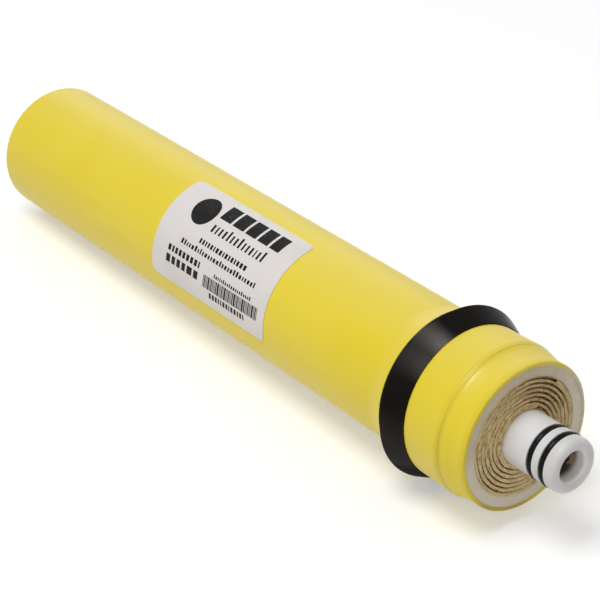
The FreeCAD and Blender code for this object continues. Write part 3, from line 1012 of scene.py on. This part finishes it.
@dataclass
class RollSpiral:
    """Line of the wound leaf: half turns about two centres, as the solids have it."""

    inner_radius: float = 8.66 * MM
    pitch: float = 1.46 * MM
    start_deg: float = 60.0
    bore_radius: float = BORE_RADIUS
    clearance: float = 0.085 * MM
    fine_steps: int = 4000

    @property
    def turns(self) -> float:
        """Turns of the leaf: what fits between tube and bore, less the leaf's own thickness."""
        return (self.bore_radius - self.clearance - self.inner_radius) / self.pitch - 1.0

    def angle(self, turn: np.ndarray) -> np.ndarray:
        """Direction of a point of the roll from its arc's centre, in radians from +Y towards +Z."""
        return math.radians(self.start_deg) - 2.0 * math.pi * turn

    def point(self, turn: np.ndarray, offset: np.ndarray) -> tuple[np.ndarray, np.ndarray]:
        """Place of the roll's line after some turns.

        In half turn h, the centre lies a quarter of the pitch to one side of the axis along the
        start direction, to the other side in the next, and the radius is the inner radius plus
        (2 h + 1) quarters of the pitch plus the offset.

        Args:
            turn: Turns from the start, one or more numbers.
            offset: Distance out from the leaf's inmost face.

        Returns:
            The Y and Z of each point.
        """
        half = np.floor(2.0 * turn + 1e-9)  # a start that rounding left a hair short still counts
        aside = 0.25 * self.pitch * np.where(half % 2 == 1, 1.0, -1.0)
        radius = self.inner_radius + 0.25 * self.pitch * (2.0 * half + 1.0) + offset
        start, angle = math.radians(self.start_deg), self.angle(turn)
        side = aside * math.cos(start) + radius * np.cos(angle)
        height = aside * math.sin(start) + radius * np.sin(angle)
        return side, height

    def even_turns(self, first: float, last: float, step: float) -> np.ndarray:
        """Turn counts that lie an even step apart along the line.

        The length of the line up to a turn is the sum of radius times angle over fine steps, and
        the wanted lengths are looked up in it.

        Args:
            first: First turn.
            last: Last turn.
            step: Distance between two places.

        Returns:
            The turn count of each place.
        """
        fine = np.linspace(first, last, self.fine_steps)
        radius = self.inner_radius + self.pitch * fine
        lengths = np.concatenate([[0.0], np.cumsum(2.0 * math.pi * radius[1:] * np.diff(fine))])
        return np.interp(np.arange(0.0, lengths[-1], step), lengths, fine)


@dataclass
class LeafEdges:
    """Frayed edges of the wound leaf and the cut strands of its net, at one end of the roll.

    The last turn's edge runs on past the leaf's end, as the tape that closes the roll, and fills
    the narrowing gap between roll and shell. The first turn's edge fills the one beside the tube.
    Each of the strands' layers has its first turn, its distance out from the leaf's inmost face
    and its lean.
    """

    end: RollEnd
    face_x: float
    spiral: RollSpiral = field(default_factory=RollSpiral)
    inner_edge: float = -0.20 * MM
    outer_edge: float = 1.12 * MM
    gapes: tuple[Span, ...] = ((55.0, 0.64 * MM), (228.0, 0.36 * MM))
    gape_spread_deg: float = 34.0
    ravel: float = 0.10 * MM
    ravel_rate: float = 1.6
    inner_ravel: float = 0.06 * MM
    uneven_rate: float = 1.3
    seam: float = 0.04 * MM
    overlap: float = 0.1 * MM
    first_turn: float = 0.02
    closing_turns: float = 0.88
    lap_turns: float = 0.02
    bead_height: float = 0.17 * MM
    bead_squareness: float = 3.0
    bead_sides: int = 16
    sunk_share: float = 0.25
    ridge_share: float = 0.3
    lump_share: float = 0.22
    lump_rate_across: float = 1.1
    step: float = 0.28 * MM
    seeds: tuple[int, int, int] = (11, 12, 13)
    strand_layers: tuple[tuple[float, float, float], ...] = (
        (0.06, 0.74 * MM, 1.0),
        (0.08, 1.06 * MM, -1.0),
    )
    strand_stop_turns: float = 0.03
    strand_pitch: float = 2.9 * MM
    strand_radius: float = 0.17 * MM
    strand_foot: float = -0.2 * MM
    strand_reach: float = 1.0 * MM
    strand_sides: int = 6
    recess: float = 1.2 * MM

    def openness(self, turn: np.ndarray) -> np.ndarray:
        """How far the leaf gapes from the next turn.

        Two bell curves over the direction, one to the upper right and one to the lower left,
        each its own width times exp(-(difference / spread) squared).

        Args:
            turn: Turns from the start.

        Returns:
            The sum of both bells at each place, in metres.
        """
        degrees = np.degrees(self.spiral.angle(turn))
        total = np.zeros_like(degrees)
        for centre, width in self.gapes:
            difference = (degrees - centre + 180.0) % 360.0 - 180.0
            total += width * np.exp(-((difference / self.gape_spread_deg) ** 2))
        return total

    def bead(self) -> Sweep:
        """Shape one uneven flat bead along the whole leaf.

        The section is a superellipse: across, the middle plus half the width times the signed
        2/n power of the cosine, and along X the height times the same power of the sine, raised
        into two ridges by 1 minus a share of the cosine of one turn across. Width, height and
        middle follow the openness and uneven waves along the leaf. The first turn reaches in to
        the tube, and the last one out to the shell.

        Returns:
            The bead.
        """
        spiral = self.spiral
        turn = spiral.even_turns(self.first_turn, spiral.turns + self.closing_turns, self.step)
        run = np.arange(len(turn)) * self.step / MM
        fray = self.ravel * ripple(run * self.ravel_rate, self.seeds[0])
        inner = self.inner_edge + self.inner_ravel * ripple(run * self.uneven_rate, self.seeds[1])
        room = spiral.bore_radius - spiral.inner_radius - spiral.pitch * turn - self.seam
        outer = np.minimum(self.outer_edge - self.openness(turn) + fray, room)
        first = np.clip((1.0 - turn) / self.lap_turns, 0.0, 1.0)
        inner = inner * (1.0 - first) - spiral.pitch * turn * first
        last = turn > spiral.turns
        outer = np.where(last, room, outer)
        lapped = np.minimum(self.seam - self.overlap, inner + self.overlap)
        inner = np.where(last, lapped, inner)
        bearing = 2.0 * math.pi * np.arange(self.bead_sides) / self.bead_sides
        power = 2.0 / self.bead_squareness
        across = (np.sign(np.cos(bearing)) * np.abs(np.cos(bearing)) ** power)[None, :]
        rise = (np.sign(np.sin(bearing)) * np.abs(np.sin(bearing)) ** power)[None, :]
        middle = 0.5 * (inner + outer)[:, None]
        half = 0.5 * (outer - inner)[:, None]
        wave = run[:, None] * self.uneven_rate + across * self.lump_rate_across
        lumps = 1.0 + self.lump_share * ripple(wave, self.seeds[2])
        ridges = 1.0 - self.ridge_share * np.cos(2.0 * math.pi * across)
        side, height = spiral.point(turn[:, None], middle + half * across)
        proud = self.bead_height * (rise * ridges * lumps - self.sunk_share)
        station = self.face_x + self.end.value * proud
        return closed_sweep(np.stack([station, side, height], axis=-1)[None])

    def strands(self) -> Sweep:
        """Shape the cut strands of the net, which cross at right angles in two layers.

        Each strand is a straight prism from the net's recessed edge to just under the end face.
        With t the direction along the leaf and x the way out, the two layers run along x + t and
        x - t.

        Returns:
            The strands.
        """
        last_turn = self.spiral.turns - self.strand_stop_turns
        axis = np.array([self.end.value, 0.0, 0.0])
        bearing = 2.0 * math.pi * np.arange(self.strand_sides) / self.strand_sides
        cosine, sine = np.cos(bearing)[None, :, None], np.sin(bearing)[None, :, None]
        reach = np.array([self.strand_foot, self.strand_reach])[None, :, None, None]
        bodies = []
        for first_turn, offset, lean in self.strand_layers:
            turn = self.spiral.even_turns(first_turn, last_turn, self.strand_pitch)
            side, height = self.spiral.point(turn, np.full_like(turn, offset))
            angle = self.spiral.angle(turn)
            flat = np.zeros_like(angle)
            out = np.stack([flat, np.cos(angle), np.sin(angle)], axis=-1)
            along = np.stack([flat, np.sin(angle), -np.cos(angle)], axis=-1)
            foot = np.stack([flat + self.face_x, side, height], axis=-1) - axis * self.recess
            way = lean * along + axis
            across = np.cross(way, out) / math.sqrt(2.0)
            ring = self.strand_radius * (cosine * out[:, None] + sine * across[:, None])
            bodies.append(foot[:, None, None] + reach * way[:, None, None] + ring[:, None])
        return closed_sweep(np.concatenate(bodies))

    def build(self, cloth: bpy.types.Material, net: bpy.types.Material) -> None:
        """Make both pieces of this end.

        Args:
            cloth: Material of the leaf's edges.
            net: Material of the strands.
        """
        end = self.end.name.lower()
        add_piece("leaf_edges_" + end, [self.bead()], cloth)
        add_piece("net_strands_" + end, [self.strands()], net)


@dataclass
class WrapRim:
    """Front edge of the wrap, turned over the shell's end as a thin uneven bead."""

    centre_x: float = -0.14 * MM
    centre_radius: float = 23.24 * MM
    half_thick: float = 0.44 * MM
    unevenness: float = 0.08
    wave_radius: float = 9.0
    wave_shift: float = 3.0
    seeds: tuple[int, int] = (21, 22)
    stations: int = 220
    sides: int = 14

    def build(self, film: bpy.types.Material) -> None:
        """Carry a round section round the rim.

        At angle a, the section's radius is the half thickness times 1 plus a small uneven wave
        that repeats every turn, because it is taken on the circle (cos a, sin a).

        Args:
            film: The wrap's material.
        """
        angle = (2.0 * math.pi * np.arange(self.stations) / self.stations)[:, None]
        bearing = (2.0 * math.pi * np.arange(self.sides) / self.sides)[None, :]
        wave = ripple(self.wave_radius * np.cos(angle), self.seeds[0])
        wave = wave * ripple(self.wave_radius * np.sin(angle) + self.wave_shift, self.seeds[1])
        thick = self.half_thick * (1.0 + self.unevenness * wave)
        radius = self.centre_radius + thick * np.cos(bearing)
        station = self.centre_x + thick * np.sin(bearing)
        points = np.stack([station, radius * np.cos(angle), radius * np.sin(angle)], axis=-1)
        add_piece("wrap_rim_bead", [closed_sweep(points[None], looped=True)], film)


@dataclass(frozen=True)
class Block:
    """One printed block on the label, in millimetres from the label's upper left corner."""

    left: float
    top: float
    width: float
    height: float


@dataclass(frozen=True)
class BlockRow:
    """A row of printed blocks that stands where a line of print would be."""

    left: float
    top: float
    width: float
    height: float
    count: int
    gap: float
    low_share: float = 0.6
    unevenness: float = 0.35
    low_height: float = 0.75

    def blocks(self) -> list[Block]:
        """Split the row into uneven blocks on one base line.

        The widths are seeded shares of what the gaps leave, between 1 minus and 1 plus the
        unevenness, and a share of the blocks is only a part as tall.

        Returns:
            The row's blocks, from left to right.
        """
        picks = np.random.default_rng(self.count)
        shares = picks.uniform(1.0 - self.unevenness, 1.0 + self.unevenness, self.count)
        widths = shares / shares.sum() * (self.width - self.gap * (self.count - 1))
        lefts = self.left + np.concatenate([[0.0], np.cumsum(widths + self.gap)[:-1]])
        low = picks.random(self.count) < self.low_share
        rises = np.where(low, self.low_height, 1.0) * self.height
        tops = self.top + self.height - rises
        return [Block(*map(float, sizes)) for sizes in zip(lefts, tops, widths, rises)]


@dataclass
class LabelPrint:
    """Generic print on the label: rows of plain blocks, a plain disc and a field of bars.

    Its sizes are in millimetres, apart from radii, stations, lift and sink.
    """

    left_x: float
    radius: float
    top_deg: float = 95.5
    wrap_radius: float = BODY_RADIUS
    lift: float = 0.02 * MM
    sink: float = 0.03 * MM
    steps: int = 7
    disc_middle: Span = (15.2, 9.4)
    disc_radius: float = 5.6
    disc_steps: int = 33
    disc_flat_deg: float = 4.0
    bars_left: float = 29.2
    bars_top: float = 27.7
    bars_height: float = 4.2
    bars_module: float = 0.29
    rows: tuple[BlockRow, ...] = (
        BlockRow(22.6, 2.9, 31.5, 6.2, 5, 1.1, 0.0, 0.12),
        BlockRow(23.4, 10.9, 27.6, 3.7, 14, 1.15, 0.7),
        BlockRow(21.6, 17.9, 25.4, 1.7, 16, 0.65, 0.0),
        BlockRow(13.6, 20.9, 40.4, 1.8, 27, 0.62, 0.8),
        BlockRow(8.3, 24.9, 17.8, 2.1, 9, 0.75, 0.0),
        BlockRow(8.1, 28.3, 17.9, 2.7, 6, 0.95, 0.0),
        BlockRow(34.3, 25.7, 19.8, 1.3, 19, 0.45, 0.7),
        BlockRow(33.0, 32.7, 19.0, 1.9, 13, 0.6, 0.0),
    )
    bar_widths: tuple[int, ...] = (
        1, 2, 1, 1, 3, 1, 2, 1, 1, 1, 2, 3, 1, 1, 2, 1, 3, 1, 1, 2,
        1, 1, 2, 3, 1, 2, 1, 1, 1, 3, 2, 1, 1, 2, 1, 1, 3, 1, 2, 1,
    )

    def bar_blocks(self) -> list[Block]:
        """Upright bars of one, two or three modules, each followed by a gap of one.

        Returns:
            The bars, from left to right.
        """
        widths = np.array(self.bar_widths) * self.bars_module
        ends = np.cumsum(widths + self.bars_module)
        lefts = self.bars_left + np.concatenate([[0.0], ends[:-1]])
        return [Block(float(left), self.bars_top, float(width), self.bars_height)
                for left, width in zip(lefts, widths)]

    def wrapped(self, down: np.ndarray, left: np.ndarray, right: np.ndarray) -> Sweep:
        """Lay shapes on the label as thin curved slabs.

        A place w across the label becomes the station left plus w, and a place d down it becomes
        the angle top plus d over the wrap's radius. The slab's section is a rectangle between
        just under and just over the paper.

        Args:
            down: Places down the label, in metres, of shape (shapes, rings).
            left: Left edge at each of them.
            right: Right edge at each of them.

        Returns:
            The slabs.
        """
        angle = math.radians(self.top_deg) + down / self.wrap_radius
        station = self.left_x + np.stack([left, left, right, right], axis=-1)
        radius = self.radius + np.array([-self.sink, self.lift, self.lift, -self.sink])
        side = radius * np.cos(angle)[..., None]
        height = radius * np.sin(angle)[..., None]
        return closed_sweep(np.stack([station, side, height], axis=-1))

    def slabs(self, blocks: list[Block]) -> Sweep:
        """Lay blocks on the label, each cut into even rings from its top to its foot.

        Args:
            blocks: The blocks.

        Returns:
            Their slabs.
        """
        left, top, width, height = (np.array([astuple(b) for b in blocks]) * MM).T[..., None]
        down = top + height * np.linspace(0.0, 1.0, self.steps)[None, :]
        left = np.repeat(left, self.steps, axis=1)
        return self.wrapped(down, left, left + width)

    def disc(self) -> Sweep:
        """Lay a plain disc on the label.

        Ring by ring, its place down is the middle minus the radius times the cosine of an angle,
        and it reaches the radius times the sine of that angle to each side. Top and foot are cut
        off flat, a few degrees short of the poles.

        Returns:
            The disc's slab.
        """
        first, last = math.radians(self.disc_flat_deg), math.radians(180.0 - self.disc_flat_deg)
        turn = np.linspace(first, last, self.disc_steps)[None, :]
        across, down = self.disc_middle[0] * MM, self.disc_middle[1] * MM
        rise = self.disc_radius * MM * np.cos(turn)
        reach = self.disc_radius * MM * np.sin(turn)
        return self.wrapped(down - rise, across - reach, across + reach)

    def build(self, ink: bpy.types.Material) -> None:
        """Print the whole label as one piece.

        Args:
            ink: The print's material.
        """
        blocks = [block for row in self.rows for block in row.blocks()] + self.bar_blocks()
        add_piece("label_print", [self.slabs(blocks), self.disc()], ink)


class Element:
    """The element: its solids, the materials on them, and the pieces too fine for the solids."""

    def __init__(self, nodes: dict[str, bpy.types.Object]) -> None:
        """Keep the solids and build the materials that solids and fine pieces share.

        Args:
            nodes: The frame's solids by name.
        """
        self.nodes = nodes
        self.film = ShrinkFilm().material()
        self.cloth = LeafCloth().material()
        self.net = NetPlastic().material()

    def dress(self) -> None:
        """Give every solid of the frame its material."""
        o_ring = RingRubber().material()
        materials = {
            "yellow_wrap": self.film,
            "outer_shell": MouldedRing().material(),
            "brine_seal": SealRubber().material(),
            "inner_o_ring": o_ring,
            "outer_o_ring": o_ring,
            "permeate_tube": TubePlastic().material(),
            "membrane_sheet": self.cloth,
            "permeate_carrier": self.cloth,
            "feed_spacer": self.net,
            "label": LabelPaper().material(),
        }
        for name, material in materials.items():
            for slot in self.nodes[name].material_slots:
                slot.material = material
            LOG.info("%s: dressed in %s", name, material.name)

    def add_fine_pieces(self) -> None:
        """Add the pieces that are too fine for the solids."""
        low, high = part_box("membrane_sheet")
        LeafEdges(RollEnd.SPIGOT, high.x).build(self.cloth, self.net)
        LeafEdges(RollEnd.PLAIN, low.x).build(self.cloth, self.net)
        WrapRim().build(self.film)
        label_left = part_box("label")[0].x
        LabelPrint(label_left, node_radius(self.nodes["label"])).build(PrintInk().material())


@dataclass(frozen=True)
class Lamp:
    """A square soft lamp that looks at the element.

    The direction is the way from the element to the lamp. Distance and size are in metres, and
    the power is in watts.
    """

    name: str
    direction: tuple[float, float, float]
    distance: float
    size: float
    power: float

    def build(self, centre: Vector) -> None:
        """Hang the lamp.

        Args:
            centre: The point that it looks at.
        """
        light = bpy.data.lights.new(self.name, "AREA")
        light.shape = "SQUARE"
        light.size = self.size
        light.energy = self.power
        lamp = bpy.data.objects.new(self.name, light)
        way = Vector(self.direction).normalized()
        lamp.location = centre + way * self.distance
        lamp.rotation_mode = "QUATERNION"
        lamp.rotation_quaternion = way.to_track_quat("Z", "Y")
        bpy.context.scene.collection.objects.link(lamp)


@dataclass
class Studio:
    """Pale floor under the element, soft lamps and a plain world."""

    floor_size: float = 6.0
    floor_tone: float = 0.80
    floor_lift: float = 0.36
    backdrop_ramp: Span = (0.30, 0.75)
    world_strength: float = 0.43
    centre: tuple[float, float, float] = (-0.12, 0.0, 0.0)
    lamps: tuple[Lamp, ...] = (
        Lamp("top_lamp", (0.06, -0.36, 0.93), 1.1, 0.5, 5.6),
        Lamp("side_lamp", (0.45, -0.8, 0.38), 1.6, 1.2, 2.7),
        Lamp("back_lamp", (-0.72, 0.5, 0.42), 1.4, 0.9, 1.7),
    )

    def floor(self) -> None:
        """Lay the floor through the lowest points of the seal's lip and of the plain end."""
        slope = (LIP_RADIUS - BODY_RADIUS) / (LIP_X - FAR_END_X)
        reach = 0.5 * self.floor_size
        spots = np.array([[-1.0, -1.0], [1.0, -1.0], [1.0, 1.0], [-1.0, 1.0]]) * reach
        heights = -LIP_RADIUS - (spots[:, 0] - LIP_X) * slope
        mesh = bpy.data.meshes.new("floor")
        mesh.from_pydata(np.column_stack([spots, heights]).tolist(), [], [[0, 1, 2, 3]])
        mesh.materials.append(self.floor_material())
        plane = bpy.data.objects.new("floor", mesh)
        bpy.context.scene.collection.objects.link(plane)

    def floor_material(self) -> bpy.types.Material:
        """Build a matte pale floor that keeps the shadow and fades into the backdrop.

        Camera and gloss see it a little lighter than it is lit, so that it shows as white. With
        the distance from the element it turns into a plain white that light doesn't change.

        Returns:
            The material.
        """
        made = bpy.data.materials.new("floor")
        bench = Bench(made)
        seen = (bench.ray("Is Camera Ray") + bench.ray("Is Glossy Ray")).capped()
        glow = bench.node("ShaderNodeEmission", {}, {
            "Color": WHITE,
            "Strength": seen * self.floor_lift,
        })
        tone = self.floor_tone
        matte = bench.node("ShaderNodeBsdfDiffuse", {}, {"Color": (tone, tone, tone, 1.0)})
        lit = bench.node("ShaderNodeAddShader", {}, {0: matte.outputs[0], 1: glow.outputs[0]})
        plain = bench.node("ShaderNodeEmission", {}, {"Color": WHITE, "Strength": 1.0})
        station, aside, _ = bench.place
        ahead = station - self.centre[0]
        away = bench.math("SQRT", ahead * ahead + aside * aside)
        mixed = bench.node("ShaderNodeMixShader", {}, {
            0: seen * away.ramp(*self.backdrop_ramp),
            1: lit.outputs[0],
            2: plain.outputs[0],
        })
        bench.node("ShaderNodeOutputMaterial", {}, {"Surface": mixed.outputs[0]})
        return made

    def world(self) -> None:
        """Plain white world, at full strength only where the camera, gloss or glass shows it."""
        world = bpy.data.worlds.new("world")
        bpy.context.scene.world = world
        bench = Bench(world)
        gloss, glass = bench.ray("Is Glossy Ray"), bench.ray("Is Transmission Ray")
        mirrored = bench.math("MAXIMUM", gloss, glass)
        seen = bench.math("MAXIMUM", bench.ray("Is Camera Ray"), mirrored)
        strength = bench.node("ShaderNodeMix", {}, {0: seen, 2: self.world_strength, 3: 1.0})
        ground = bench.node("ShaderNodeBackground", {}, {
            "Color": WHITE,
            "Strength": strength.outputs[0],
        })
        bench.node("ShaderNodeOutputWorld", {}, {"Surface": ground.outputs[0]})

    def build(self) -> None:
        """Set up floor, world and lamps."""
        self.floor()
        self.world()
        for lamp in self.lamps:
            lamp.build(Vector(self.centre))


@dataclass
class PhotoCamera:
    """Camera at the photograph's viewing angle."""

    place: tuple[float, float, float] = (355.018 * MM, -351.003 * MM, 312.913 * MM)
    right: tuple[float, float, float] = (0.60568608, 0.7957037, 0.0)
    up: tuple[float, float, float] = (-0.37919865, 0.28864431, 0.87914325)
    focal_length: float = 122.50
    sensor_width: float = 36.0
    clip: Span = (0.01, 20.0)

    def build(self) -> None:
        """Create the camera and make it the scene's own.

        Its axes are the columns right, up and right cross up, so it looks along the last one
        turned round.
        """
        data = bpy.data.cameras.new("photo_camera")
        data.lens = self.focal_length
        data.sensor_width = self.sensor_width
        data.clip_start, data.clip_end = self.clip
        camera = bpy.data.objects.new("photo_camera", data)
        right, up = Vector(self.right).normalized(), Vector(self.up).normalized()
        axes = Matrix((right, up, right.cross(up))).transposed()
        camera.matrix_world = Matrix.Translation(self.place) @ axes.to_4x4()
        bpy.context.scene.collection.objects.link(camera)
        bpy.context.scene.camera = camera


def main() -> None:
    """Load the frame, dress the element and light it."""
    logging.basicConfig(level=logging.INFO, format="%(name)s: %(message)s")
    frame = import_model()
    element = Element(frame["nodes"])
    element.dress()
    element.add_fine_pieces()
    Studio().build()
    PhotoCamera().build()
    bpy.context.scene.view_settings.view_transform = "Standard"
    bpy.context.view_layer.update()


if __name__ == "__main__":
    main()
